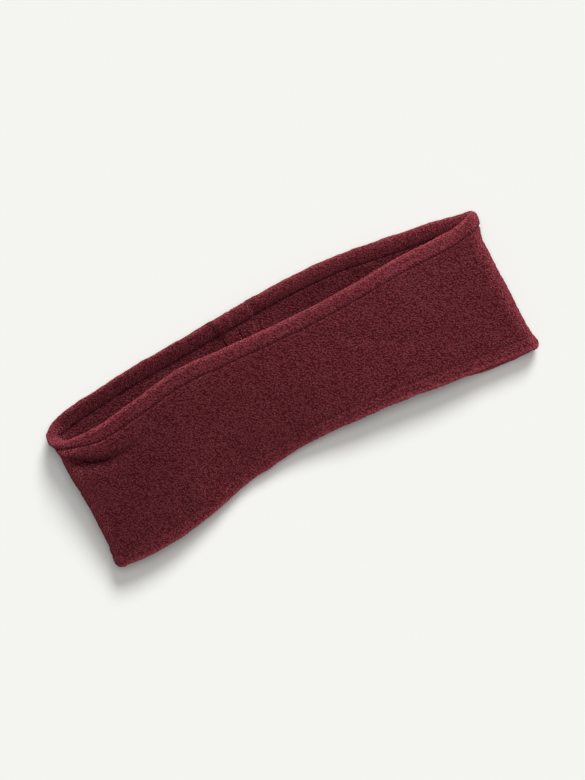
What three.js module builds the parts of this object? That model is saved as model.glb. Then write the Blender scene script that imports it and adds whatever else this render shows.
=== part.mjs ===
// Fleece ear warmer headband, in millimetres, lying on its back layer as it was put down.
// +X runs from the left fold to the right fold, +Y from the lower edge to the rim, and +Z up.
// The band is one fleece strip sewn into a loop at the centre back, with both long edges turned
// inside and stitched down. It lies folded over at both ears, and its rim has sprung open.

import * as THREE from "three";

// The cloth and the cut
const FLEECE = 3.0; // thickness of one layer
const CLEARANCE = 0.3; // gap between layers that touch
const FRONT_HEIGHT = 67.5; // finished height of the strip at the centre front
const BACK_HEIGHT = 66; // at the centre back
const EAR_HEIGHT = 83; // over the ears
const RIM_HEM = 10; // how far the turned rim reaches inside
const LOWER_HEM = 9.5; // how far the turned lower edge reaches inside
const STITCH_INSET = 1.2; // from a hem's raw edge to its stitch line
const STITCH_DENT = 0.7; // depth of the groove that the stitches pull in
const STITCH_REACH = 1.6; // half width of that groove

// The seam at the centre back
const SEAM_ALLOWANCE = 9.5; // width of each allowance, pressed open
const ALLOWANCE_THICKNESS = 2.4;
const CAUGHT_THICKNESS = 1.2; // of the same cloth where a hem is stitched down over it
const CAUGHT_LENGTH = 4.5; // how far each allowance runs on under a hem
const SEAM_DENT = 0.9; // depth of the groove outside
const SEAM_REACH = 2.6; // half width of that groove
const BULK_TAPER = 4; // where a hem comes down again beside the allowances

// The band as it lies
const BODY_WIDTH = 250.4; // fold to fold, across the body
const RIM_FLARE = 3.1; // how far the rim hem stands out past each fold
const LOWER_FLARE = 1.5; // the same for the lower hem
const FLARE_EASE = 14; // length over which each hem flares
const RIM_RISE = 28; // height of the open rim at its highest
const LOWER_RISE = 18; // height of the front layer's lower edge at its highest
const LOOP_TURN = 10; // the strip lies turned this far round the loop
const RIM_ROLL = 1.6; // how far the front hem rolls down towards its edge
const FRONT_CROWN = 1.2; // how far the front layer bulges between its edges
const BACK_FLAT = 0.52; // share of the back layer's height that lies flat

// The fold of slack cloth under the rim at the left
const CREASE_DEPTH = 3.2;
const CREASE_REACH = 6; // half width of the crease
const CREASE_RIDGE = 1.4; // height of the roll between the hem and the crease
const CREASE_LENGTH = 56; // from the left fold
const CREASE_DROP = 8; // how far below the hem the crease sinks

// Sections across the front layer, evenly spaced from the left fold to the right one. rim is a share
// of EAR_HEIGHT, rimLift of RIM_RISE and lowerLift of LOWER_RISE. ease is the share of the strip's
// height that creases take up, and below 0 it is a stretch.
const FRONT_SECTIONS = [
  { rim: 0.385, rimLift: 1.0, lowerLift: 0.93, ease: 0.094 },
  { rim: 0.367, rimLift: 0.98, lowerLift: 0.87, ease: 0.074 },
  { rim: 0.407, rimLift: 0.97, lowerLift: 0.69, ease: 0.024 },
  { rim: 0.449, rimLift: 0.97, lowerLift: 0.405, ease: -0.015 },
  { rim: 0.44, rimLift: 0.93, lowerLift: 0.455, ease: -0.006 },
  { rim: 0.425, rimLift: 0.9, lowerLift: 0.7, ease: 0.02 },
  { rim: 0.419, rimLift: 0.87, lowerLift: 0.92, ease: 0.024 },
  { rim: 0.426, rimLift: 0.84, lowerLift: 1.0, ease: 0.035 },
  { rim: 0.444, rimLift: 0.8, lowerLift: 0.94, ease: 0.034 },
  { rim: 0.443, rimLift: 0.74, lowerLift: 0.8, ease: 0.052 },
  { rim: 0.458, rimLift: 0.69, lowerLift: 0.76, ease: 0.062 },
];

// The same for the back layer, whose lower edge lies on the surface.
const BACK_SECTIONS = [
  { rim: 0.532, rimLift: 0.07, lowerLift: 0, ease: 0.04 },
  { rim: 0.574, rimLift: 0.11, lowerLift: 0, ease: 0.02 },
  { rim: 0.606, rimLift: 0.17, lowerLift: 0, ease: 0.0 },
  { rim: 0.623, rimLift: 0.22, lowerLift: 0, ease: 0.0 },
  { rim: 0.639, rimLift: 0.25, lowerLift: 0, ease: 0.0 },
  { rim: 0.656, rimLift: 0.25, lowerLift: 0, ease: 0.0 },
  { rim: 0.663, rimLift: 0.24, lowerLift: 0, ease: 0.0 },
  { rim: 0.65, rimLift: 0.22, lowerLift: 0, ease: -0.005 },
  { rim: 0.608, rimLift: 0.18, lowerLift: 0, ease: -0.045 },
  { rim: 0.559, rimLift: 0.13, lowerLift: 0, ease: -0.052 },
  { rim: 0.505, rimLift: 0.1, lowerLift: 0, ease: 0.012 },
];

// Mesh fineness
const FRONT_STEPS = 26;
const TURN_STEPS = 8; // round each fold
const BACK_STEPS = 10; // from the seam to each fold
const BODY_ROWS = 7; // below the crease
const CREASE_ROWS = 4; // half a reach apart
const ALLOWANCE_STEPS = 3; // across each allowance
const LIP_STEPS = 4; // round each turned edge
const SLOPE_STEP = 0.004; // for the direction of the surface
const LEVEL_TOLERANCE = 1e-6; // rows closer than this are at one height

const HEM_THICKNESS = 2 * FLEECE + CLEARANCE;
const LIP_RADIUS = HEM_THICKNESS / 2;
const FLAP_START = LIP_RADIUS + CLEARANCE;
const FLAP_DEPTH = FLEECE + CLEARANCE;
const RIM_STITCH = RIM_HEM - STITCH_INSET;
const LOWER_STITCH = LOWER_HEM - STITCH_INSET;
const SEAM_X = -LOOP_TURN;
const FLARED_WIDTH = BODY_WIDTH / 2 + RIM_FLARE;
const FRONT = { sections: FRONT_SECTIONS, middleHeight: FRONT_HEIGHT, centre: LOOP_TURN };
const BACK = { sections: BACK_SECTIONS, middleHeight: BACK_HEIGHT, centre: SEAM_X };

const clamp01 = (t) => Math.min(1, Math.max(0, t));
const smooth = (t) => clamp01(t) ** 2 * (3 - 2 * clamp01(t));
const mix = (a, b, t) => a + (b - a) * t;
const bump = (distance, reach) => smooth(1 - Math.abs(distance) / reach);
const spread = (count, at) => Array.from({ length: count }, (_, k) => at(k));

// One value of a layer's sections at a share of the half width from -1 to 1, on a smooth curve.
function section(layer, column, share) {
  const last = layer.sections.length - 1;
  const place = clamp01((share + 1) / 2) * last;
  const i = Math.min(Math.floor(place), last - 1);
  const t = place - i;
  const at = (k) => layer.sections[Math.min(last, Math.max(0, k))][column];
  const [a, b, c, d] = [at(i - 1), at(i), at(i + 1), at(i + 2)];
  return b + 0.5 * t * (c - a + t * (2 * a - 5 * b + 4 * c - d + t * (3 * (b - c) + d - a)));
}

// A layer's finished height, lowest at its centre and highest over the ears.
function layerHeight(layer, x) {
  const round = (Math.PI * (x - layer.centre)) / FLARED_WIDTH;
  return mix(layer.middleHeight, EAR_HEIGHT, (1 - Math.cos(round)) / 2);
}

// Half the width of the loop at a share of the height: the stiffer hems stand out past the body.
function halfWidth(up) {
  const rim = smooth(1 - ((1 - up) * EAR_HEIGHT - LIP_RADIUS) / FLARE_EASE);
  const lower = smooth(1 - (up * EAR_HEIGHT - LIP_RADIUS) / FLARE_EASE);
  return BODY_WIDTH / 2 + RIM_FLARE * rim + LOWER_FLARE * lower;
}

// Height of the front layer's outer face: up a crowned slope that levels out at the rim.
function frontRise(share, up) {
  const low = section(FRONT, "lowerLift", share) * LOWER_RISE;
  const high = section(FRONT, "rimLift", share) * RIM_RISE;
  const roll = smooth(1 - ((1 - up) * EAR_HEIGHT) / RIM_HEM) * RIM_ROLL;
  return mix(low, high, Math.sin((up * Math.PI) / 2)) + FRONT_CROWN * Math.sin(Math.PI * up) - roll;
}

// Height of the back layer's outer face: flat on the surface, then curving up to the rim.
function backRise(share, up) {
  const lift = Math.max(0, (up - BACK_FLAT) / (1 - BACK_FLAT));
  return section(BACK, "rimLift", share) * RIM_RISE * lift ** 2;
}

// Where a layer lies along Y, at a share of its height.
function reach(layer, share, up, width) {
  const low = section(layer, "lowerLift", share) * LOWER_RISE;
  const high = section(layer, "rimLift", share) * RIM_RISE;
  const flat = Math.sqrt(layerHeight(layer, share * width) ** 2 - (high - low) ** 2);
  const rim = section(layer, "rim", share) * EAR_HEIGHT;
  return rim - flat * (1 - section(layer, "ease", share)) * (1 - up);
}

// A column is a place round the loop. angle is 0 on the front layer and PI on the back one, and turns
// between them round a fold. share runs from -1 to 1 between the folds, and offset adds millimetres.
function columnX(column, up, width) {
  const end = Math.sign(column.share) || 1;
  const radius = (frontRise(end, up) - backRise(end, up)) / 2;
  return column.share * (width - radius) + column.offset + radius * Math.sin(column.angle);
}

function moved(column, step) {
  if (column.turns) return { ...column, angle: column.angle + step };
  return { ...column, share: column.share + step * Math.cos(column.angle) };
}

const frontPart = (column) => (1 + Math.cos(column.angle)) / 2;

// The outer face as the cloth lies, before its stitches and creases.
function outerFace(column, up, width) {
  const x = columnX(column, up, width);
  const share = x / width;
  const y = mix(reach(BACK, share, up, width), reach(FRONT, share, up, width), frontPart(column));
  const z = mix(backRise(share, up), frontRise(share, up), frontPart(column));
  return new THREE.Vector3(x, y, z);
}

// Straight out of the face, its flare aside. A hem has one direction, so that its layers stay parallel.
function outwards(column, up, height) {
  const hem = (RIM_HEM + LIP_RADIUS) / height;
  const held = Math.min(1 - hem, Math.max(hem, up));
  const at = (place, climb) => outerFace(place, climb, BODY_WIDTH / 2);
  const along = at(moved(column, SLOPE_STEP), held).sub(at(moved(column, -SLOPE_STEP), held));
  const across = at(column, held + SLOPE_STEP).sub(at(column, held - SLOPE_STEP));
  return along.cross(across).normalize();
}

// How far the slack cloth sinks in, or stands out where this is negative. Every layer bends with it.
function crease(x, front, fromRim) {
  const fade = smooth(1 - (x + BODY_WIDTH / 2) / CREASE_LENGTH) * smooth(2 * front - 1);
  const fold = bump(fromRim - RIM_HEM - CREASE_DROP, CREASE_REACH);
  const roll = bump(fromRim - RIM_HEM - CREASE_DROP / 4, CREASE_REACH);
  return fade * (CREASE_DEPTH * fold - CREASE_RIDGE * roll);
}

// How far the stitches and the seam pull a face in.
function pinch(x, front, fromLower, fromRim) {
  const stitches = bump(fromRim - RIM_STITCH, STITCH_REACH) + bump(fromLower - LOWER_STITCH, STITCH_REACH);
  return STITCH_DENT * stitches + (1 - front) * SEAM_DENT * bump(x - SEAM_X, SEAM_REACH);
}

// How far a hem stands in where it runs over the seam allowances.
function bulk(x, front) {
  const over = (SEAM_ALLOWANCE + CLEARANCE + BULK_TAPER - Math.abs(x - SEAM_X)) / BULK_TAPER;
  return (1 - front) * (CAUGHT_THICKNESS + CLEARANCE) * smooth(over);
}

// A row is a place up the strip: share of the height plus offset in millimetres, and depth below the
// outer face. pinched is 1 on an outer face, -1 on a hem's inner face, and bulked is 1 on a hem.
const rowAt = (share, offset, depth, pinched = 0, bulked = 0) => ({ share, offset, depth, pinched, bulked });
const lowerRow = (inset, ...faces) => rowAt(0, inset, ...faces);
const rimRow = (inset, ...faces) => rowAt(1, -inset, ...faces);

function surfacePoint(column, row) {
  const front = frontPart(column);
  const middleX = columnX(column, 0.5, BODY_WIDTH / 2);
  const height = mix(layerHeight(BACK, middleX), layerHeight(FRONT, middleX), front);
  const fromLower = row.share * height + row.offset;
  const fromRim = height - fromLower;
  const up = fromLower / height;
  const face = outerFace(column, up, halfWidth(up));
  const depth = row.depth + crease(face.x, front, fromRim) +
    row.pinched * pinch(face.x, front, fromLower, fromRim) + row.bulked * bulk(face.x, front);
  return face.addScaledVector(outwards(column, up, height), -depth);
}

// A solid whose rows run round its section, up the outside first, and whose columns run along it. Faces
// that lie on each other are split along the same diagonal, so that their gap stays even.
function sweep(columns, rows, loops) {
  const positions = columns.flatMap((column) => rows.flatMap((row) => surfacePoint(column, row).toArray()));
  const index = [];
  const at = (c, r) => (c % columns.length) * rows.length + (r % rows.length);
  const quad = (a, b, c, d) => index.push(a, b, c, a, c, d);
  const returns = rows.map((row, r) => {
    const next = rows[(r + 1) % rows.length];
    const climb = (next.share - row.share) * EAR_HEIGHT + next.offset - row.offset;
    return Math.abs(climb) > LEVEL_TOLERANCE ? climb < 0 : next.depth < row.depth;
  });
  for (let c = 0; c < columns.length - (loops ? 0 : 1); c++) {
    for (let r = 0; r < rows.length; r++) {
      const corners = [at(c, r), at(c + 1, r), at(c + 1, r + 1), at(c, r + 1)];
      if (returns[r]) corners.push(corners.shift());
      quad(...corners);
    }
  }
  if (!loops) {
    const end = columns.length - 1;
    for (let r = 0; r < rows.length / 2 - 1; r++) {
      const back = rows.length - 1 - r;
      quad(at(0, r), at(0, r + 1), at(0, back - 1), at(0, back));
      quad(at(end, back), at(end, back - 1), at(end, r + 1), at(end, r));
    }
  }
  const geometry = new THREE.BufferGeometry();
  geometry.setAttribute("position", new THREE.Float32BufferAttribute(positions, 3));
  geometry.setIndex(index);
  geometry.computeVertexNormals();
  return geometry;
}

// Columns all the way round: the front from left to right, the right fold, the back and the left fold.
function loopColumns() {
  const front = spread(FRONT_STEPS, (k) => ({ share: (2 * k) / FRONT_STEPS - 1, offset: 0, angle: 0 }));
  const fold = (share, start) => spread(TURN_STEPS, (k) => (
    { share, offset: 0, angle: start + (Math.PI * k) / TURN_STEPS, turns: true }));
  const beside = SEAM_ALLOWANCE + CLEARANCE;
  const clear = beside + BULK_TAPER;
  const half = [clear, clear - BULK_TAPER / 2, beside, SEAM_REACH, SEAM_REACH / 2];
  const seam = [...half, 0, ...half.map((offset) => -offset).reverse()]
    .map((offset) => ({ share: 0, offset: SEAM_X + offset, angle: Math.PI }));
  const flank = (side, share) => (
    { share: side * share, offset: (1 - share) * (SEAM_X + side * clear), angle: Math.PI });
  const right = spread(BACK_STEPS, (k) => flank(1, 1 - k / BACK_STEPS));
  const left = spread(BACK_STEPS - 1, (k) => flank(-1, (k + 1) / BACK_STEPS));
  return [...front, ...fold(1, 0), ...right, ...seam, ...left, ...fold(-1, Math.PI)];
}

// The turned edge, from the outer face round to the inner one.
function lipRows(edgeRow) {
  return spread(LIP_STEPS + 1, (k) => {
    const round = (Math.PI * k) / LIP_STEPS;
    const inset = LIP_RADIUS * (1 - Math.sin(round));
    return edgeRow(inset, LIP_RADIUS * (1 - Math.cos(round)));
  });
}

// Places down a hem from its lip, where the shell and the turned-in cloth bend alike.
const hemInsets = (from, hem, stitch) => [from, stitch - STITCH_REACH, stitch, hem];

function shellRows() {
  const creaseEnd = RIM_HEM + CREASE_DROP + CREASE_REACH;
  const lowerEnd = LOWER_HEM + STITCH_REACH;
  const body = (depth) => spread(BODY_ROWS, (k) => (
    rowAt(k / BODY_ROWS, mix(lowerEnd, -creaseEnd, k / BODY_ROWS), depth)));
  const slack = (depth) => spread(CREASE_ROWS, (k) => rimRow(creaseEnd - (k * CREASE_REACH) / 2, depth));
  const rim = hemInsets(LIP_RADIUS, RIM_HEM, RIM_STITCH);
  const lower = hemInsets(LIP_RADIUS, LOWER_HEM, LOWER_STITCH);
  return [
    ...lower.slice(1).map((offset) => lowerRow(offset, 0, 1)),
    ...body(0), ...slack(0),
    ...rim.slice(1).reverse().map((inset) => rimRow(inset, 0, 1)),
    ...lipRows(rimRow),
    ...rim.map((inset) => rimRow(inset, FLEECE)),
    ...slack(FLEECE).reverse(), ...body(FLEECE).reverse(),
    ...lower.reverse().map((offset) => lowerRow(offset, FLEECE)),
    ...lipRows(lowerRow).reverse(),
  ];
}

// A hem's turned-in cloth, seen from the lower edge. The rim's rows run the other way round.
function hemRows(edgeRow, hem, stitch) {
  const insets = hemInsets(FLAP_START, hem, stitch);
  const outside = insets.map((inset) => edgeRow(inset, FLAP_DEPTH, 0, 1));
  const inside = insets.map((inset) => edgeRow(inset, HEM_THICKNESS, -1, 1));
  return [...outside, ...inside.reverse()];
}

// A seam allowance is squeezed thin where it runs on under each hem, and swells in its own thickness.
function allowanceRows() {
  const ends = [CLEARANCE, CLEARANCE + CAUGHT_THICKNESS];
  const face = (thickness, caught) => [
    lowerRow(LOWER_HEM - CAUGHT_LENGTH, caught),
    lowerRow(LOWER_HEM + ends[0], caught),
    lowerRow(LOWER_HEM + ends[1], thickness),
    ...spread(BODY_ROWS - 1, (k) => {
      const share = (k + 1) / BODY_ROWS;
      return rowAt(share, mix(LOWER_HEM, -RIM_HEM, share), thickness);
    }),
    rimRow(RIM_HEM + ends[1], thickness),
    rimRow(RIM_HEM + ends[0], caught),
    rimRow(RIM_HEM - CAUGHT_LENGTH, caught),
  ];
  const outside = face(FLAP_DEPTH, FLAP_DEPTH);
  const inside = face(FLAP_DEPTH + ALLOWANCE_THICKNESS, FLAP_DEPTH + CAUGHT_THICKNESS);
  return [...outside, ...inside.reverse()];
}

function allowanceColumns(side) {
  const columns = spread(ALLOWANCE_STEPS + 1, (k) => {
    const out = mix(CLEARANCE / 2, SEAM_ALLOWANCE, k / ALLOWANCE_STEPS);
    return { share: 0, offset: SEAM_X + side * out, angle: Math.PI };
  });
  return side > 0 ? columns.reverse() : columns;
}

function piece(name, colour, geometry) {
  const material = new THREE.MeshStandardMaterial({ color: colour, roughness: 0.95, metalness: 0 });
  const mesh = new THREE.Mesh(geometry, material);
  mesh.name = name;
  return mesh;
}

const topHemRows = hemRows(rimRow, RIM_HEM, RIM_STITCH).reverse();
const bottomHemRows = hemRows(lowerRow, LOWER_HEM, LOWER_STITCH);
const headband = new THREE.Group();
headband.add(
  piece("fleece_shell", 0x6a2630, sweep(loopColumns(), shellRows(), true)),
  piece("top_hem", 0x74303a, sweep(loopColumns(), topHemRows, true)),
  piece("bottom_hem", 0x74303a, sweep(loopColumns(), bottomHemRows, true)),
  piece("seam_allowance_left", 0x5c222b, sweep(allowanceColumns(-1), allowanceRows(), false)),
  piece("seam_allowance_right", 0x5c222b, sweep(allowanceColumns(1), allowanceRows(), false)),
);

// The origin goes to the middle of the outline, on the surface that the band lies on.
const box = new THREE.Box3().setFromObject(headband, true);
const middle = box.getCenter(new THREE.Vector3());
headband.children.forEach((mesh) => mesh.geometry.translate(-middle.x, -middle.y, -box.min.z));

export default headband;
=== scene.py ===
# Looks of the fleece ear warmer headband: Blender 4.5, in metres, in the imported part's frame.
# The cloth is worked out in millimetres, much as in the part's source, and then moved into the frame.

import bpy
import numpy as np
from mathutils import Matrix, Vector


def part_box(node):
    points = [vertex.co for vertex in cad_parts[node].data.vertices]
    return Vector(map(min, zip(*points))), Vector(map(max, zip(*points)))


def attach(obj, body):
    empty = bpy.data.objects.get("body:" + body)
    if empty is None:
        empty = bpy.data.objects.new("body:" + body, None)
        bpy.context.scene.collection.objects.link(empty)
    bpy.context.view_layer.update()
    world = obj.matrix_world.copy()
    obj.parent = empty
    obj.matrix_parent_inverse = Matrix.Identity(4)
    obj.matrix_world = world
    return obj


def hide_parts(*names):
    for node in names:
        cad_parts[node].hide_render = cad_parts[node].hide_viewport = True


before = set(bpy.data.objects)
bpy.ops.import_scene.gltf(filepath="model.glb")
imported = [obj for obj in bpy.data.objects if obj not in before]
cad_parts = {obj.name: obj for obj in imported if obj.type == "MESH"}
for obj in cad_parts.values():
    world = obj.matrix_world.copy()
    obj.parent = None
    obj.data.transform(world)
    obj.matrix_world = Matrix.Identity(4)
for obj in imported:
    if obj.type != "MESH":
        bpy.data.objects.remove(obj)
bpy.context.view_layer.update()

MM = 0.001

# The strip's sizes, in millimetres. They are the part's source's own, apart from those marked as the scene's.
FLEECE = 3.0
CLEARANCE = 0.3
FRONT_HEIGHT = 67.5
BACK_HEIGHT = 66.0
EAR_HEIGHT = 83.0
RIM_HEM = 10.0
LOWER_HEM = 9.5
STITCH_INSET = 1.2
SEAM_ALLOWANCE = 9.5
ALLOWANCE_THICKNESS = 1.7  # the scene's, thinner than the solid, so that its edge looks pressed
CAUGHT_THICKNESS = 1.2
SEAM_DENT = 0.9
SEAM_REACH = 2.6
SEAM_LEFT = 2.0  # the scene's: how far the seam lies left of the loop's turn
BULK_TAPER = 4.0
BODY_WIDTH = 250.4
RIM_FLARE = 3.1
LOWER_FLARE = 1.5
FLARE_EASE = 14.0
RIM_RISE = 28.0
LOWER_RISE = 18.0
LOOP_TURN = 10.0
RIM_ROLL = 1.6
FRONT_CROWN = 1.2
BACK_FLAT = 0.52
SLOPE_STEP = 0.004  # for finding slopes

# Sections across each layer, evenly spaced from the left fold to the right one. rim is a share of EAR_HEIGHT,
# rim_lift of RIM_RISE and lower_lift of LOWER_RISE. ease is the share of the strip's height that creases take
# up, and below 0 it is a stretch. Some of the ease is the scene's, to meet the photo's lower edge.
FRONT_SECTIONS = {
    "rim": [0.385, 0.367, 0.407, 0.449, 0.44, 0.425, 0.419, 0.426, 0.444, 0.443, 0.458],
    "rim_lift": [1.0, 0.98, 0.97, 0.97, 0.93, 0.9, 0.87, 0.84, 0.8, 0.74, 0.69],
    "lower_lift": [0.93, 0.87, 0.69, 0.405, 0.455, 0.7, 0.92, 1.0, 0.94, 0.8, 0.76],
    "ease": [0.09, 0.09, 0.032, -0.01, -0.002, 0.024, 0.03, 0.044, 0.043, 0.066, 0.054],
}
BACK_SECTIONS = {
    "rim": [0.532, 0.574, 0.606, 0.623, 0.639, 0.656, 0.663, 0.65, 0.608, 0.559, 0.505],
    "rim_lift": [0.07, 0.11, 0.17, 0.22, 0.25, 0.25, 0.24, 0.22, 0.18, 0.13, 0.1],
    "lower_lift": [0.0] * 11,
    "ease": [0.04, 0.02, 0.0, 0.0, 0.0, 0.0, 0.0, -0.005, -0.062, -0.038, 0.018],
}

HEM_THICKNESS = 2 * FLEECE + CLEARANCE
LIP_RADIUS = HEM_THICKNESS / 2
FLAP_DEPTH = FLEECE + CLEARANCE
RIM_STITCH = RIM_HEM - STITCH_INSET
LOWER_STITCH = LOWER_HEM - STITCH_INSET
SEAM_X = -LOOP_TURN - SEAM_LEFT
FLARED_WIDTH = BODY_WIDTH / 2 + RIM_FLARE
FRONT = {"sections": FRONT_SECTIONS, "middle_height": FRONT_HEIGHT, "centre": LOOP_TURN}
BACK = {"sections": BACK_SECTIONS, "middle_height": BACK_HEIGHT, "centre": -LOOP_TURN}

# Mesh fineness, in columns, rows or millimetres
FRONT_COLUMNS = 292
FOLD_COLUMNS = 30
BACK_SPACING = 2.1
SEAM_SPACING = 0.9
OUTER_SPACING = 0.78
SEWN_SPACING = 0.45  # of the rows beside a stitch line
LIP_ROWS = 12
INNER_SPACING = 2.0
ALLOWANCE_TOP = 17  # points across an allowance's visible face
ALLOWANCE_SKIP = 4  # every fourth of them on its hidden face
ALLOWANCE_SPACING = 0.75

# The hems and the stitch grooves, in millimetres
RIM_DENT = 0.75  # depth of the groove under the rim's stitches
LOWER_DENT = 0.3  # under the lower hem's
SEWN_REACH = 1.3  # half width of both
HEM_PUFF = 0.2  # how far each hem swells between its edge and its stitches
RAW_THICKNESS = 0.12  # of the turned-in cloth at its cut edge, where the stitches press it
RAW_EDGE = [(0.0, 0.0), (0.25, 0.3), (0.5, 0.7), (0.8, 1.0)]  # past the cut edge, share of that thickness gone

# The seam allowances, and the gathers in the back beside them
ALLOWANCE_UNDER = [(-3.0, 0.5), (-1.0, 0.5), (-0.3, 0.75), (0.4, 1.0)]  # past a hem's cut edge, thickness share
ALLOWANCE_FULL = 1.0  # past a hem's cut edge, where the full thickness begins
CUT_SHARE = 0.2  # share of the thickness at an allowance's cut edge
CUT_EASE = 3.5  # how fast it thickens from there
TURN_SHARE = 0.7  # share of the thickness at the seam
TURN_EASE = 6
GATHER_OFFSET = 11.0  # from the seam to the gathers
GATHER_REACH = 3.2
GATHER_DENT = 0.8

# The folds' outline, seen from above
RIM_SQUARENESS = 0.6  # below 1, each fold turns more sharply
LOWER_SQUARENESS = 0.3
LOWER_HOLD = 0.35  # how much further each fold turns before the lower edge moves over to the back
RIGHT_PINCH = 2.2  # how far the front's rim rises to close the opening at the right fold
PINCH_START = 0.86  # of the half width
LEFT_LIFT = 3.0  # how far the left fold draws the rim's stitches up towards the rim
LIFT_LENGTH = 26.0
LIFT_END = 32.0  # from the rim

# The slack cloth under the rim at the left, deeper and sharper than in the solids
PUCKER_DROP = 6.0  # from the rim's hem down to the crease at the left fold
PUCKER_SAG = 4.2  # how much further down the crease runs
PUCKER_EASE = 24.0  # within this length
PUCKER_LENGTH = 57.0
PUCKER_DEPTH = 5.2
PUCKER_STEEP = 2.7  # reach of the crease on its upper side
PUCKER_GENTLE = 9.5  # on its lower side
PUCKER_ROLL = 2.1  # height of the roll above the crease
ROLL_PLACE = 0.4  # of the way from the hem to the crease
SIDE_SWELL = 1.4  # how far the left fold stands out below the crease
SIDE_DROP = 22.0  # from the rim
SIDE_REACH = 17.0
SIDE_LENGTH = 14.0

# Faint folds in the right half: points in the part's frame, depth and half width
SOFT_FOLDS = [
    ([(35.0, 8.0), (52.0, -3.0), (67.0, -10.6)], 0.8, 6.0),
    ([(62.0, -13.0), (73.0, -8.5), (85.0, -1.8)], 0.7, 5.5),
    ([(108.0, -18.0), (116.0, -10.6), (121.0, -4.0)], 0.6, 4.5),
]

# Nap: brushed fleece, as seeded relief in the mesh
NAP_SEED = 7
NUB_SIZE = 1.9
NUB_HEIGHT = 0.3
NUB_STEEPNESS = 1.6
LUMP_SIZE = 8.0
LUMP_HEIGHT = 0.4
PRESSED = 0.75  # share of the relief that the stitches take away
CELL_FACTORS = (73856093, 19349663, 83492791)  # these four scramble a cell's place and its seed
SEED_FACTOR = 2654435761
DRAW_FACTOR = 1103515245
DRAW_START = 12345

# Nap in the fleece's material: sizes and heights in millimetres, then shares
CURL_SIZE = 0.94
CURL_SMOOTHNESS = 0.35
CURL_HEIGHT = 1.15
TANGLE_SIZE = 0.94
TANGLE_DETAIL = 1
TANGLE_SHARE = 1.3  # of the bump, beside the curls' 1
TANGLE_COLOUR = 0.4
BROAD_SIZE = 22.0
BROAD_DETAIL = 3
BROAD_COLOUR = 0.16
CURL_TOP = 0.5  # place in the colour ramp of a curl's top, before the tangle and the broad patches are added
# The ramp gives the fleece's own tone, with painted shade in the furrows between curls
SHADED_FURROW_COLOUR = (0.06, 0.0074, 0.01)
MIDDLE_COLOUR = (0.104, 0.0195, 0.0252)
TOP_COLOUR = (0.155, 0.037, 0.046)
FLEECE_STOPS = [(0.1, SHADED_FURROW_COLOUR), (0.7, TOP_COLOUR), (0.36, MIDDLE_COLOUR)]
FLEECE_ROUGHNESS = 0.95
SHEEN = 0.55
SHEEN_ROUGHNESS = 0.35
SHEEN_TINT = (0.95, 0.18, 0.235, 1)

# How much paler or darker than the body parts of the fleece are painted, as shares, and their reaches in
# millimetres. Most of these are painted highlight and painted shade.
RIM_HIGHLIGHT = 0.45  # painted highlight along the rim's edge, where it faces the light
EDGE_REACH = 2.6
LOWER_EDGE_HIGHLIGHT = 3.1  # painted highlight along the lower edge, which the light hardly meets
LOWER_REACH = 3.6
HEM_BLOOM = 0.14  # the rim's hem, above its stitches
BACK_BLOOM = 0.12  # more on the back's rim hem
RIGHT_HEM_PAINTED_LIGHT = 0.42  # painted light, more at the right of the front's rim hem, which faces the light
LOWER_HEM_BLOOM = 0.25
HEM_EASE = 2.0  # how long the changes at the stitches and at the rim hem's cut edge take
PAINTED_LIGHT_TO_RIGHT = 0.3  # painted light, paler from left to right as the front turns towards the light
INSIDE_SHADE = 0.34  # painted shade on the inner face of the back's rim hem, at the left, where the front layer keeps the light off
BACK_SHADE = 0.2  # painted shade on the back's inner face below that hem, at the right
GATHER_SHADE = 0.35  # painted shade in the gathers in that hem
FURROW_SHADE = 0.55  # painted shade in the stitch grooves
LOWER_SHOWN = 0.6  # share of it in the lower hem's groove, which fades out to the left
# painted shade in the crease at the left
CREASE_SHADE = 0.7
CREASE_START = 2.0  # the crease darkens from this far outside the fold
CREASE_EASE = 13.0

# Where those changes begin and how long they take, as shares of the band's width from its middle
RIGHT_PLACE = (0.1, 0.3)
PAINTED_LIGHT_PLACE = (-0.4, 0.6)
INSIDE_PLACE = (-0.45, 0.7)
BACK_PLACE = (0.0, 0.1)
LOWER_SHOWN_PLACE = (-60.0, 60.0)  # in millimetres

# Stitching, in millimetres
STITCH_PITCH = 3.2
STITCH_LENGTH = 2.4
THREAD_RADIUS = 0.17
THREAD_TIP = 0.02  # least share of the thread's section, at its ends
STITCH_SINK = 0.6
STITCH_RINGS = 7
STITCH_SIDES = 6
THREAD_GRAIN = 2500  # plies in a metre
THREAD_DETAIL = 2
THREAD_STOPS = [(0.3, (0.02, 0.0022, 0.0032)), (0.7, (0.05, 0.0062, 0.0085))]
THREAD_ROUGHNESS = 0.9
THREAD_SPECULAR = 0.05

# Light, floor and camera: angles in degrees, lengths in metres
KEY_AZIMUTH = 49.0
KEY_ELEVATION = 44.0
KEY_ANGLE = 24.0
KEY_STRENGTH = 2.75
FILL_ELEVATION = 84.0
FILL_ANGLE = 36.0
FILL_STRENGTH = 1.35
WORLD_COLOUR = (1.0, 0.995, 0.99, 1)
WORLD_STRENGTH = 0.1
FLOOR_COLOUR = (0.8, 0.805, 0.775, 1)
FLOOR_SIZE = 6.0
CAMERA_TURN = 27.306
CAMERA_DISTANCE = 2.0
CAMERA_AIM = (-0.00095, -0.00553, 0.015)
CAMERA_CLIP = (0.05, 20)
FRAME_HEIGHT = 0.4124  # what the picture's long side takes in
SENSOR = 36.0


def clamp01(t):
    return np.clip(t, 0.0, 1.0)


def smooth(t):
    t = clamp01(t)
    return t * t * (3 - 2 * t)


def mix(a, b, t):
    return a + (b - a) * t


def bump(distance, reach):
    """1 at no distance, easing to 0 at the reach."""
    return smooth(1 - np.abs(distance) / reach)


# The strip's surface. Each function takes arrays of columns by rows.

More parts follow.
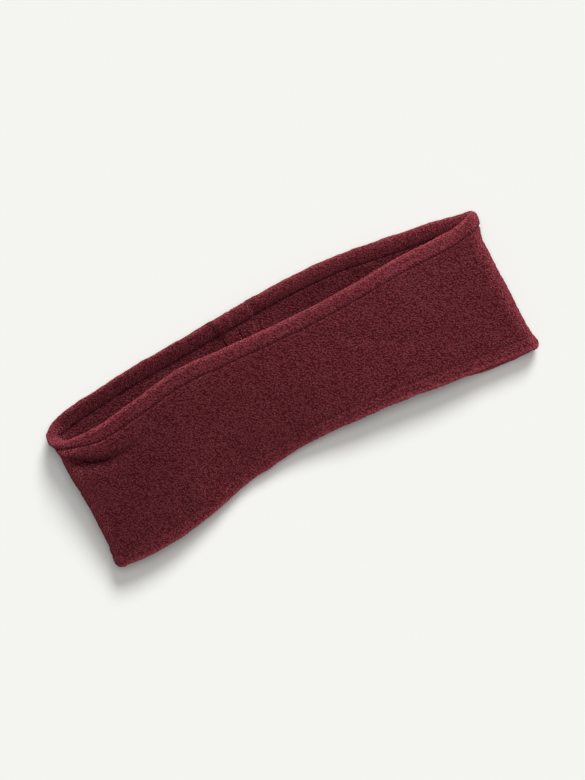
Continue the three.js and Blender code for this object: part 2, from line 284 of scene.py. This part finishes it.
def section(layer, name, share):
    """A smooth curve through a named row of a layer's sections."""
    values = np.array(layer["sections"][name])
    last = len(values) - 1
    place = clamp01((share + 1) / 2) * last
    i = np.minimum(np.floor(place), last - 1).astype(int)
    t = place - i
    a, b, c, d = (values[np.clip(i + k, 0, last)] for k in (-1, 0, 1, 2))
    return b + 0.5 * t * (c - a + t * (2 * a - 5 * b + 4 * c - d + t * (3 * (b - c) + d - a)))


def layer_height(layer, x):
    turn = np.pi * (x - layer["centre"]) / FLARED_WIDTH
    return mix(layer["middle_height"], EAR_HEIGHT, (1 - np.cos(turn)) / 2)


def half_width(up):
    rim = smooth(1 - ((1 - up) * EAR_HEIGHT - LIP_RADIUS) / FLARE_EASE)
    lower = smooth(1 - (up * EAR_HEIGHT - LIP_RADIUS) / FLARE_EASE)
    return BODY_WIDTH / 2 + RIM_FLARE * rim + LOWER_FLARE * lower


def front_rise(share, up):
    low = section(FRONT, "lower_lift", share) * LOWER_RISE
    high = section(FRONT, "rim_lift", share) * RIM_RISE
    roll = smooth(1 - (1 - up) * EAR_HEIGHT / RIM_HEM) * RIM_ROLL
    return mix(low, high, np.sin(up * np.pi / 2)) + FRONT_CROWN * np.sin(np.pi * up) - roll


def back_rise(share, up):
    lift = np.maximum(0, (up - BACK_FLAT) / (1 - BACK_FLAT))
    return section(BACK, "rim_lift", share) * RIM_RISE * lift**2


def reach(layer, share, up, width):
    low = section(layer, "lower_lift", share) * LOWER_RISE
    high = section(layer, "rim_lift", share) * RIM_RISE
    flat = np.sqrt(layer_height(layer, share * width) ** 2 - (high - low) ** 2)
    rim = section(layer, "rim", share) * EAR_HEIGHT
    return rim - flat * (1 - section(layer, "ease", share)) * (1 - up)


def column_x(column, up, width):
    end = np.where(column["share"] < 0, -1.0, 1.0)
    radius = (front_rise(end, up) - back_rise(end, up)) / 2
    return column["share"] * (width - radius) + column["offset"] + radius * np.sin(column["angle"])


def moved(column, step):
    turns = column["turns"]
    return {
        **column,
        "angle": column["angle"] + np.where(turns, step, 0.0),
        "share": column["share"] + np.where(turns, 0.0, step * np.cos(column["angle"])),
    }


def front_part(column, squareness=1.0, hold=0.0):
    """1 on the front layer and 0 on the back one. Squareness below 1 makes the change at a fold more sudden,
    and hold puts it off until the fold has turned that much further."""
    turn = np.clip(np.cos(column["angle"]) + hold * np.abs(np.sin(column["angle"])), -1, 1)
    return (1 + np.sign(turn) * np.abs(turn) ** squareness) / 2


def outer_face(column, up, width):
    x = column_x(column, up, width)
    share = x / width
    squareness = mix(LOWER_SQUARENESS, RIM_SQUARENESS, smooth(up))
    y_part = front_part(column, squareness, LOWER_HOLD * (1 - smooth(up)))
    y = mix(reach(BACK, share, up, width), reach(FRONT, share, up, width), y_part)
    pinch = smooth((share - PINCH_START) / (1 - PINCH_START))
    y = y + RIGHT_PINCH * pinch * front_part(column) * up**2
    z = mix(back_rise(share, up), front_rise(share, up), front_part(column))
    return np.stack([x, y, z], axis=-1)


def unit(vectors):
    return vectors / np.linalg.norm(vectors, axis=-1, keepdims=True)


def outwards(column, up, height):
    hem = (RIM_HEM + LIP_RADIUS) / height
    held = np.clip(up, hem, 1 - hem)
    half = BODY_WIDTH / 2
    ahead = outer_face(moved(column, SLOPE_STEP), held, half)
    behind = outer_face(moved(column, -SLOPE_STEP), held, half)
    across = outer_face(column, held + SLOPE_STEP, half) - outer_face(column, held - SLOPE_STEP, half)
    return unit(np.cross(ahead - behind, across))


def pucker(x, front, from_rim):
    """The slack cloth at the left: shares of its crease, of the roll above it and of the swollen fold below."""
    along = x + BODY_WIDTH / 2
    fade = smooth(1 - along / PUCKER_LENGTH)
    drop = PUCKER_DROP + PUCKER_SAG * smooth(along / PUCKER_EASE)
    below = from_rim - RIM_HEM - drop
    crease = np.where(below < 0, smooth(1 + below / PUCKER_STEEP), smooth(1 - below / PUCKER_GENTLE))
    roll = bump(from_rim - RIM_HEM - drop * ROLL_PLACE, drop * (1 - ROLL_PLACE))
    side = bump(from_rim - SIDE_DROP, SIDE_REACH) * smooth(1 - along / SIDE_LENGTH)
    fade = fade * smooth(2 * front - 1)
    return fade * crease, fade * roll, side * smooth(3 * front)


def left_lift(x, front, from_rim):
    """How far the cloth at the left fold is drawn up towards the rim, most at the stitches."""
    along = smooth(1 - (x + BODY_WIDTH / 2) / LIFT_LENGTH) * smooth(2 * front)
    above = smooth(from_rim / RIM_STITCH)
    below = smooth((LIFT_END - from_rim) / (LIFT_END - RIM_STITCH))
    return LEFT_LIFT * along * above * below


def sewn(from_lower, from_rim, rim=1.0, lower=1.0):
    """The two values given on the two stitch lines, fading out beside them."""
    on_rim = bump(from_rim - RIM_STITCH, SEWN_REACH)
    on_lower = bump(from_lower - LOWER_STITCH, SEWN_REACH)
    return rim * on_rim + lower * on_lower


def swell(from_edge, stitch):
    return HEM_PUFF * np.sin(np.pi * clamp01(from_edge / stitch))


def gathers(x, front):
    """1 where the back is drawn in beside the seam allowances."""
    return (1 - front) * bump(np.abs(x - SEAM_X) - GATHER_OFFSET, GATHER_REACH)


def seam_dent(x, front):
    return (1 - front) * SEAM_DENT * bump(x - SEAM_X, SEAM_REACH) + GATHER_DENT * gathers(x, front)


def bulk(x, front):
    """How far a hem at the back is lifted by the allowances under it."""
    over = (SEAM_ALLOWANCE + CLEARANCE + BULK_TAPER / 2 - np.abs(x - SEAM_X)) / (BULK_TAPER / 2)
    return (1 - front) * (CAUGHT_THICKNESS + CLEARANCE) * smooth(over)


def surface(columns, rows):
    """Points of the strip for a column dictionary of n values and a row dictionary of m, n by m by 3.
    Also where each point is: x, front, from_lower, from_rim, and inside where it is on the inner face."""
    column = {name: values[:, None] for name, values in columns.items()}
    row = {name: np.atleast_2d(values) for name, values in rows.items()}
    front = front_part(column)
    middle_x = column_x(column, 0.5, BODY_WIDTH / 2)
    height = mix(layer_height(BACK, middle_x), layer_height(FRONT, middle_x), front)
    from_lower = row["share"] * height + row["offset"]
    from_rim = height - from_lower
    up = from_lower / height
    face = outer_face(column, up, half_width(up))
    x = face[..., 0]
    pinched = row["pinched"]
    inner = np.abs(pinched) * (sewn(from_lower, from_rim, RIM_DENT, LOWER_DENT) + seam_dent(x, front))
    puffed = np.abs(pinched) * (swell(from_rim, RIM_STITCH) + swell(from_lower, LOWER_STITCH))
    crease, roll, side = pucker(x, front, from_rim)
    slack = PUCKER_DEPTH * crease - PUCKER_ROLL * roll - SIDE_SWELL * side
    depth = row["depth"] + slack + row["bulked"] * bulk(x, front)
    depth = depth + np.sign(pinched) * (inner - puffed)
    points = face - outwards(column, up, height) * depth[..., None]
    points[..., 1] += left_lift(x, front, from_rim)
    inside = row["depth"] > LIP_RADIUS / 2
    place = {"x": x, "front": front, "from_lower": from_lower, "from_rim": from_rim, "inside": inside}
    return points, place


# Rows are (share of the height, offset in mm, depth below the outer face, pinched, bulked). pinched is 1 on the
# outer face of a hem and -1 on its inner one, and bulked is 1 where the seam allowances lift it.

def row_table(rows):
    return dict(zip(("share", "offset", "depth", "pinched", "bulked"), np.array(rows, float).T))


def steps(start, end, spacing):
    """Evenly spaced values from start up to end, without end."""
    count = max(1, round(abs(end - start) / spacing))
    return [start + (end - start) * k / count for k in range(count)]


def lower_row(inset, depth, pinched=0, bulked=0):
    return (0, inset, depth, pinched, bulked)


def rim_row(inset, depth, pinched=0, bulked=0):
    return (1, -inset, depth, pinched, bulked)


def lip(edge_row):
    """The turned edge, from the outer face round to the inner one, without its last row."""
    rows = []
    for k in range(LIP_ROWS):
        turn = np.pi * k / LIP_ROWS
        inset, depth = LIP_RADIUS * (1 - np.sin(turn)), LIP_RADIUS * (1 - np.cos(turn))
        rows.append(edge_row(inset, depth, np.cos(turn), k / LIP_ROWS))
    return rows


def body(depth, spacing, lower, rim):
    """Rows between two hems, each given as its reach from the edge."""
    shares = steps(0, 1, spacing / (FRONT_HEIGHT - lower - rim))
    return [(s, mix(lower, -rim, s), depth, 0, 0) for s in shares]


def flap_depth(inset, hem):
    """Depth of a turned hem's inner face, which thins from the lip to its cut edge."""
    thin = smooth((inset - LIP_RADIUS) / (hem - LIP_RADIUS))
    return mix(HEM_THICKNESS, FLEECE + RAW_THICKNESS, thin)


def hem_insets(hem, stitch):
    """Insets from the lip to the cut edge, closer together beside the stitches."""
    insets = steps(LIP_RADIUS, stitch - SEWN_REACH, OUTER_SPACING)
    return insets + steps(stitch - SEWN_REACH, hem, SEWN_SPACING)


def flap_rows(edge_row, hem, stitch):
    return [edge_row(inset, flap_depth(inset, hem), -1, 1) for inset in hem_insets(hem, stitch)]


def raw_edge(edge_row, hem):
    """The cut edge of a turned hem, sloping from the hem's inner face down to the shell's."""
    rows = []
    for out, down in RAW_EDGE:
        rows.append(edge_row(hem + out, FLEECE + RAW_THICKNESS * (1 - down), 0, 1 - down))
    return rows


def strip_rows():
    lower_end = LOWER_STITCH + SEWN_REACH
    rim_end = RIM_STITCH + SEWN_REACH
    lower = hem_insets(lower_end, LOWER_STITCH)
    rim = hem_insets(rim_end, RIM_STITCH) + [rim_end]
    rows = [lower_row(inset, 0, 1) for inset in lower]
    rows += body(0, OUTER_SPACING, lower_end, rim_end)
    rows += [rim_row(inset, 0, 1) for inset in rim[:0:-1]]
    rows += lip(rim_row)
    rows += flap_rows(rim_row, RIM_HEM, RIM_STITCH)
    rows += raw_edge(rim_row, RIM_HEM)
    rows += body(FLEECE, INNER_SPACING, LOWER_HEM, RIM_HEM)[:0:-1]
    rows += raw_edge(lower_row, LOWER_HEM)[::-1]
    rows += flap_rows(lower_row, LOWER_HEM, LOWER_STITCH)[::-1]
    rows += lip(lower_row)[:0:-1]
    return row_table(rows)


def column_table(share, angle, turns, offset=0.0):
    share = np.asarray(share, float)
    return {
        "share": share,
        "offset": share * 0 + offset,
        "angle": np.broadcast_to(angle, share.shape).astype(float),
        "turns": np.full(share.shape, turns),
    }


def allowance_grid(side):
    """Columns round a seam allowance's section, and rows up it, whose depth differs from column to column."""
    t = np.linspace(0, 1, ALLOWANCE_TOP)
    hidden = t[-2:0:-ALLOWANCE_SKIP]
    across = np.concatenate([t, hidden])
    top = mix(CUT_SHARE, 1, np.sqrt(smooth((1 - t) * CUT_EASE))) * mix(TURN_SHARE, 1, smooth(t * TURN_EASE))
    high = np.concatenate([top, np.zeros(len(hidden))])
    if side < 0:
        across, high = across[::-1], high[::-1]
    out = mix(CLEARANCE / 4, SEAM_ALLOWANCE, across)
    columns = column_table(np.zeros(len(out)), np.pi, False, SEAM_X + side * out)
    middle = body(1, ALLOWANCE_SPACING, LOWER_HEM + ALLOWANCE_FULL, RIM_HEM + ALLOWANCE_FULL)[1:]
    rows = [lower_row(LOWER_HEM + past, share) for past, share in ALLOWANCE_UNDER] + middle
    rows += [rim_row(RIM_HEM + past, share) for past, share in reversed(ALLOWANCE_UNDER)]
    table = row_table(rows)
    table["depth"] = FLAP_DEPTH + ALLOWANCE_THICKNESS * high[:, None] * table["depth"][None, :]
    return columns, table


def loop_columns():
    """The front from left to right, the right fold, the back and the left fold."""
    half = BODY_WIDTH / 2
    seam_zone = SEAM_ALLOWANCE + BULK_TAPER + SEAM_SPACING
    back = steps(half, SEAM_X + seam_zone, BACK_SPACING)
    back += steps(SEAM_X + seam_zone, SEAM_X - seam_zone, SEAM_SPACING)
    back += steps(SEAM_X - seam_zone, -half, BACK_SPACING)
    turn = np.pi * np.arange(FOLD_COLUMNS) / FOLD_COLUMNS
    parts = [
        column_table(steps(-1, 1, 2 / FRONT_COLUMNS), 0.0, False),
        column_table(np.ones(FOLD_COLUMNS), turn, True),
        column_table(np.array(back) / half, np.pi, False),
        column_table(-np.ones(FOLD_COLUMNS), np.pi + turn, True),
    ]
    return {name: np.concatenate([part[name] for part in parts]) for name in parts[0]}


# Seeded noise over points in millimetres

def cell_values(cells, seed):
    """Three repeatable random numbers from 0 to 1 for each whole-number cell."""
    across, along, up = (cells[..., axis] * factor for axis, factor in enumerate(CELL_FACTORS))
    mixed = across ^ along ^ up ^ seed * SEED_FACTOR
    values = []
    for k in range(3):
        mixed = (mixed * DRAW_FACTOR + DRAW_START + k) & 0x7FFFFFFF
        mixed = mixed ^ (mixed >> 13)
        values.append((mixed & 0xFFFF) / 65535.0)
    return np.stack(values, axis=-1)


def soft_noise(points, size, seed):
    """Smooth noise from -1 to 1 with features of that size."""
    scaled = points / size
    low = np.floor(scaled).astype(np.int64)
    t = scaled - low
    t = t * t * (3 - 2 * t)
    total = np.zeros(points.shape[:-1])
    for corner in np.ndindex(2, 2, 2):
        weight = np.prod(np.where(np.array(corner) == 1, t, 1 - t), axis=-1)
        total += weight * cell_values(low + np.array(corner), seed)[..., 0]
    return total * 2 - 1


def pebbles(points, size, seed):
    """Rounded nubs from 0 in the furrows to 1 on their tops."""
    scaled = points / size
    low = np.floor(scaled).astype(np.int64)
    nearest = second = np.full(points.shape[:-1], np.inf)
    for step in np.ndindex(3, 3, 3):
        cells = low + np.array(step) - 1
        away = np.linalg.norm(cells + cell_values(cells, seed) - scaled, axis=-1)
        second = np.minimum(second, np.maximum(nearest, away))
        nearest = np.minimum(nearest, away)
    return smooth((second - nearest) * NUB_STEEPNESS)


def grid_normals(points):
    """Outward directions of a grid whose columns close on themselves."""
    along = np.roll(points, -1, axis=0) - np.roll(points, 1, axis=0)
    return unit(np.cross(along, np.gradient(points, axis=1)))


def nap_relief(points, place):
    """Outward relief of the nap, which the stitches press flat."""
    nubs = pebbles(points, NUB_SIZE, NAP_SEED) - 0.5
    lumps = soft_noise(points, LUMP_SIZE, NAP_SEED + 1)
    pressed = clamp01(sewn(place["from_lower"], place["from_rim"]))
    return (NUB_HEIGHT * nubs + LUMP_HEIGHT * lumps) * (1 - PRESSED * pressed)


def soft_folds(points, place):
    """Faint folds of the front layer, as relief."""
    flat = points[..., :2]
    relief = np.zeros(points.shape[:-1])
    for line, depth, half in SOFT_FOLDS:
        nearest = np.full(relief.shape, np.inf)
        for start, end in zip(np.array(line[:-1]), np.array(line[1:])):
            run = end - start
            t = clamp01((flat - start) @ run / (run @ run))
            nearest = np.minimum(nearest, np.linalg.norm(flat - start - t[..., None] * run, axis=-1))
        relief -= depth * bump(nearest, half)
    return relief * smooth(2 * place["front"] - 1)


# Blender objects

def mesh_object(name, points, faces, material):
    mesh = bpy.data.meshes.new(name)
    mesh.from_pydata((points * MM).tolist(), [], faces)
    mesh.materials.append(material)
    mesh.shade_smooth()
    piece = bpy.data.objects.new(name, mesh)
    bpy.context.scene.collection.objects.link(piece)
    return piece


def grid_faces(columns, rows, closed=True):
    """Quads of a grid whose columns close on themselves, and its rows too where closed."""
    c, r = np.meshgrid(np.arange(columns), np.arange(rows if closed else rows - 1), indexing="ij")
    c2, r2 = (c + 1) % columns, (r + 1) % rows
    corners = [c * rows + r, c2 * rows + r, c2 * rows + r2, c * rows + r2]
    return np.stack(corners, axis=-1).reshape(-1, 4).tolist()


def to_frame(points, shift):
    return points.reshape(-1, 3) + shift


def on_floor(points):
    points[:, 2] = np.maximum(points[:, 2], 0)
    return points


def noise_node(tree, coordinates, scale, detail):
    node = tree.nodes.new("ShaderNodeTexNoise")
    node.inputs["Scale"].default_value = scale
    node.inputs["Detail"].default_value = detail
    tree.links.new(coordinates, node.inputs["Vector"])
    return node.outputs["Fac"]


def cell_node(tree, coordinates, scale, smoothness):
    node = tree.nodes.new("ShaderNodeTexVoronoi")
    node.feature = "SMOOTH_F1"
    node.inputs["Scale"].default_value = scale
    node.inputs["Smoothness"].default_value = smoothness
    tree.links.new(coordinates, node.inputs["Vector"])
    return node.outputs["Distance"]


def math_node(tree, operation, a, b):
    node = tree.nodes.new("ShaderNodeMath")
    node.operation = operation
    for socket, value in zip(node.inputs, (a, b)):
        if isinstance(value, (int, float)):
            socket.default_value = value
        else:
            tree.links.new(value, socket)
    return node.outputs[0]


def ramp_node(tree, value, stops):
    """A colour ramp. The first two stops are its ends."""
    node = tree.nodes.new("ShaderNodeValToRGB")
    elements = node.color_ramp.elements
    for element, (place, colour) in zip(elements, stops):
        element.position, element.color = place, (*colour, 1)
    for place, colour in stops[2:]:
        elements.new(place).color = (*colour, 1)
    tree.links.new(value, node.inputs["Fac"])
    return node.outputs["Color"]


def attribute_node(tree, name):
    node = tree.nodes.new("ShaderNodeAttribute")
    node.attribute_name = name
    return node.outputs["Fac"]


def scale_node(tree, colour, factor):
    node = tree.nodes.new("ShaderNodeVectorMath")
    node.operation = "SCALE"
    tree.links.new(colour, node.inputs[0])
    tree.links.new(factor, node.inputs["Scale"])
    return node.outputs[0]


def fleece_material():
    material = bpy.data.materials.new("fleece")
    material.use_nodes = True
    tree = material.node_tree
    shader = tree.nodes["Principled BSDF"]
    place = tree.nodes.new("ShaderNodeTexCoord").outputs["Object"]
    curls = cell_node(tree, place, 1 / (CURL_SIZE * MM), CURL_SMOOTHNESS)
    tangle = noise_node(tree, place, 1 / (TANGLE_SIZE * MM), TANGLE_DETAIL)
    broad = noise_node(tree, place, 1 / (BROAD_SIZE * MM), BROAD_DETAIL)
    height = math_node(tree, "SUBTRACT", math_node(tree, "MULTIPLY", tangle, TANGLE_SHARE), curls)
    fine = math_node(tree, "MULTIPLY", tangle, TANGLE_COLOUR)
    patches = math_node(tree, "ADD", fine, math_node(tree, "MULTIPLY", broad, BROAD_COLOUR))
    # the ramp's furrows are painted shade, over the fleece's own tone
    shade = math_node(tree, "ADD", math_node(tree, "SUBTRACT", CURL_TOP, curls), patches)
    colour = ramp_node(tree, shade, FLEECE_STOPS)
    colour = scale_node(tree, colour, attribute_node(tree, "brightness"))
    bump_node = tree.nodes.new("ShaderNodeBump")
    bump_node.inputs["Strength"].default_value = 1.0
    bump_node.inputs["Distance"].default_value = CURL_HEIGHT * MM
    tree.links.new(height, bump_node.inputs["Height"])
    tree.links.new(bump_node.outputs["Normal"], shader.inputs["Normal"])
    tree.links.new(colour, shader.inputs["Base Color"])
    shader.inputs["Roughness"].default_value = FLEECE_ROUGHNESS
    shader.inputs["Specular IOR Level"].default_value = 0.0
    shader.inputs["Sheen Weight"].default_value = SHEEN
    shader.inputs["Sheen Roughness"].default_value = SHEEN_ROUGHNESS
    shader.inputs["Sheen Tint"].default_value = SHEEN_TINT
    return material


def thread_material():
    material = bpy.data.materials.new("thread")
    material.use_nodes = True
    tree = material.node_tree
    shader = tree.nodes["Principled BSDF"]
    place = tree.nodes.new("ShaderNodeTexCoord").outputs["Object"]
    plies = noise_node(tree, place, THREAD_GRAIN, THREAD_DETAIL)
    colour = ramp_node(tree, plies, THREAD_STOPS)
    tree.links.new(colour, shader.inputs["Base Color"])
    shader.inputs["Roughness"].default_value = THREAD_ROUGHNESS
    shader.inputs["Specular IOR Level"].default_value = THREAD_SPECULAR
    return material


# The pieces

def onset(value, start_and_length):
    """0 up to the start, and 1 after the length."""
    start, length = start_and_length
    return smooth((value - start) / length)


def brightness(place):
    """The fleece's colour is multiplied by this: painted highlights at its edges and towards the right, painted
    shade in its stitch grooves, gathers, crease and inside the back, and paler hems.
    """
    x, front, from_lower, from_rim = (place[name] for name in ("x", "front", "from_lower", "from_rim"))
    share = x / BODY_WIDTH
    in_hem = smooth((RIM_HEM + HEM_EASE / 2 - from_rim) / HEM_EASE)
    paler_and_painted_light = 1 + RIM_HIGHLIGHT * bump(from_rim, EDGE_REACH) + LOWER_EDGE_HIGHLIGHT * bump(from_lower, LOWER_REACH)
    rim_hem = HEM_BLOOM + RIGHT_HEM_PAINTED_LIGHT * front * onset(share, RIGHT_PLACE) + BACK_BLOOM * (1 - front)
    paler_and_painted_light = paler_and_painted_light + rim_hem * smooth((RIM_STITCH - from_rim) / HEM_EASE)
    paler_and_painted_light = paler_and_painted_light + LOWER_HEM_BLOOM * smooth((LOWER_STITCH - from_lower) / HEM_EASE)
    paler_and_painted_light = paler_and_painted_light + PAINTED_LIGHT_TO_RIGHT * onset(share, PAINTED_LIGHT_PLACE)
    # Painted shade inside the back, where the front layer keeps the light off
    painted_inside_shade = in_hem * INSIDE_SHADE * (1 - onset(share, INSIDE_PLACE))
    painted_inside_shade = painted_inside_shade + (1 - in_hem) * BACK_SHADE * onset(share, BACK_PLACE)
    painted_inside_shade = painted_inside_shade * place["inside"] * (1 - front)
    painted_gather_shade = GATHER_SHADE * gathers(x, front) * in_hem
    # Painted shade in the stitch grooves
    painted_groove_shade = sewn(from_lower, from_rim, 1, LOWER_SHOWN * onset(x, LOWER_SHOWN_PLACE))
    # Painted shade in the crease at the left fold
    crease = pucker(x, front, from_rim)[0] * smooth((x + BODY_WIDTH / 2 + CREASE_START) / CREASE_EASE)
    shaded = (1 - painted_gather_shade) * (1 - FURROW_SHADE * painted_groove_shade**2) * (1 - CREASE_SHADE * crease) * (1 - painted_inside_shade)
    return paler_and_painted_light * shaded


def add_attribute(piece, name, values):
    attribute = piece.data.attributes.new(name, "FLOAT", "POINT")
    attribute.data.foreach_set("value", values.astype(np.float32).ravel())


def make_strip(material):
    """The cloth, and how far the frame's origin lies from the one that it is worked out in."""
    points, place = surface(loop_columns(), strip_rows())
    flat = points.reshape(-1, 3)
    low, high = flat.min(axis=0), flat.max(axis=0)
    cad_low, cad_high = (np.array(corner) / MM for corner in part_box("fleece_shell"))
    shift = (cad_low + cad_high) / 2 - (low + high) / 2
    shift[2] = cad_low[2] - low[2]
    relief = nap_relief(points, place) + soft_folds(points + shift, place)
    napped = points + grid_normals(points) * relief[..., None]
    columns, rows = points.shape[:2]
    strip = mesh_object("fleece_strip", on_floor(to_frame(napped, shift)), grid_faces(columns, rows), material)
    add_attribute(strip, "brightness", brightness(place))
    return strip, shift


def make_allowance(name, side, material, shift):
    columns, rows = allowance_grid(side)
    points, place = surface(columns, rows)
    napped = points + grid_normals(points) * nap_relief(points, place)[..., None]
    around, length = points.shape[:2]
    faces = grid_faces(around, length, closed=False)
    faces.append([c * length for c in reversed(range(around))])
    faces.append([c * length + length - 1 for c in range(around)])
    piece = mesh_object(name, to_frame(napped, shift), faces, material)
    add_attribute(piece, "brightness", brightness(place))
    return piece


def stitch_line(name, row, material, shift):
    """One row of stitches right round the loop. Each is a short thread whose ends dip into the cloth."""
    points, place = surface(loop_columns(), row_table([row]))
    inner, _ = surface(loop_columns(), row_table([(row[0], row[1], row[2] + 1, row[3], row[4])]))
    line = points[:, 0]
    inwards = unit(inner[:, 0] - line)
    lengths = np.linalg.norm(np.roll(line, -1, axis=0) - line, axis=1)
    travelled = np.concatenate([[0], np.cumsum(lengths)])
    count = round(travelled[-1] / STITCH_PITCH)
    pitch = travelled[-1] / count
    closed = np.concatenate([line, line[:1]])
    closed_in = np.concatenate([inwards, inwards[:1]])
    t = np.linspace(-1, 1, STITCH_RINGS)
    radius = THREAD_RADIUS * np.sqrt(np.maximum(1 - t**4, THREAD_TIP))
    sink = STITCH_SINK * t**2
    around = 2 * np.pi * np.arange(STITCH_SIDES) / STITCH_SIDES
    vertices, faces = [], []
    for k in range(count):
        at = (k + 0.5) * pitch + t * STITCH_LENGTH / 2
        centre = np.stack([np.interp(at, travelled, closed[:, axis]) for axis in range(3)], axis=1)
        down = unit(np.stack([np.interp(at, travelled, closed_in[:, axis]) for axis in range(3)], axis=1))
        along = unit(np.gradient(centre, axis=0))
        side = unit(np.cross(along, down))
        centre = centre + down * sink[:, None]
        first = len(vertices)
        for ring in range(STITCH_RINGS):
            for turn in around:
                offset = np.cos(turn) * side[ring] + np.sin(turn) * down[ring]
                vertices.append(centre[ring] + radius[ring] * offset)
        for ring in range(STITCH_RINGS - 1):
            for j in range(STITCH_SIDES):
                a, b = first + ring * STITCH_SIDES, first + (ring + 1) * STITCH_SIDES
                j2 = (j + 1) % STITCH_SIDES
                faces.append((a + j, a + j2, b + j2, b + j))
        last = first + (STITCH_RINGS - 1) * STITCH_SIDES
        faces.append(tuple(first + j for j in reversed(range(STITCH_SIDES))))
        faces.append(tuple(last + j for j in range(STITCH_SIDES)))
    return mesh_object(name, on_floor(np.array(vertices) + shift), faces, material)


def soft_light(name, strength, angle, azimuth, elevation):
    """A broad light far away, seen from the object at that azimuth from +X and that elevation."""
    data = bpy.data.lights.new(name, "SUN")
    data.energy = strength
    data.angle = np.radians(angle)
    light = bpy.data.objects.new(name, data)
    light.rotation_euler = (0, np.radians(90 - elevation), np.radians(azimuth))
    bpy.context.scene.collection.objects.link(light)


def floor_and_light():
    bpy.ops.mesh.primitive_plane_add(size=FLOOR_SIZE, location=(0, 0, 0))
    floor = bpy.context.object
    floor.name = "floor"
    material = bpy.data.materials.new("floor")
    material.use_nodes = True
    shader = material.node_tree.nodes["Principled BSDF"]
    shader.inputs["Base Color"].default_value = FLOOR_COLOUR
    shader.inputs["Roughness"].default_value = 1.0
    shader.inputs["Specular IOR Level"].default_value = 0.0
    floor.data.materials.append(material)
    soft_light("key", KEY_STRENGTH, KEY_ANGLE, KEY_AZIMUTH, KEY_ELEVATION)
    soft_light("fill", FILL_STRENGTH, FILL_ANGLE, KEY_AZIMUTH, FILL_ELEVATION)
    world = bpy.context.scene.world or bpy.data.worlds.new("world")
    bpy.context.scene.world = world
    world.use_nodes = True
    background = world.node_tree.nodes["Background"]
    background.inputs["Color"].default_value = WORLD_COLOUR
    background.inputs["Strength"].default_value = WORLD_STRENGTH


def camera():
    data = bpy.data.cameras.new("camera")
    data.sensor_width = SENSOR
    data.lens = SENSOR * CAMERA_DISTANCE / FRAME_HEIGHT
    data.clip_start, data.clip_end = CAMERA_CLIP
    view = bpy.data.objects.new("camera", data)
    x, y, z = CAMERA_AIM
    view.location = (x, y, z + CAMERA_DISTANCE)
    view.rotation_euler = (0, 0, np.radians(-CAMERA_TURN))
    bpy.context.scene.collection.objects.link(view)
    bpy.context.scene.camera = view


camera()
floor_and_light()
bpy.context.scene.view_settings.view_transform = "Standard"

fleece = fleece_material()
thread = thread_material()
strip, SHIFT = make_strip(fleece)
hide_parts("fleece_shell", "top_hem", "bottom_hem")
pieces = [strip]
inner_rim_depth = flap_depth(RIM_STITCH, RIM_HEM)
inner_lower_depth = flap_depth(LOWER_STITCH, LOWER_HEM)
for name, row in (
    ("rim_stitching", rim_row(RIM_STITCH, 0, 1)),
    ("rim_stitching_inside", rim_row(RIM_STITCH, inner_rim_depth, -1, 1)),
    ("lower_stitching", lower_row(LOWER_STITCH, 0, 1)),
    ("lower_stitching_inside", lower_row(LOWER_STITCH, inner_lower_depth, -1, 1)),
):
    pieces.append(stitch_line(name, row, thread, SHIFT))
for name, side, node in (
    ("pressed_edge_left", -1, "seam_allowance_left"),
    ("pressed_edge_right", 1, "seam_allowance_right"),
):
    edge = make_allowance(name, side, fleece, SHIFT)
    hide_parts(node)
    pieces.append(edge)
for piece in pieces:
    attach(piece, "root")
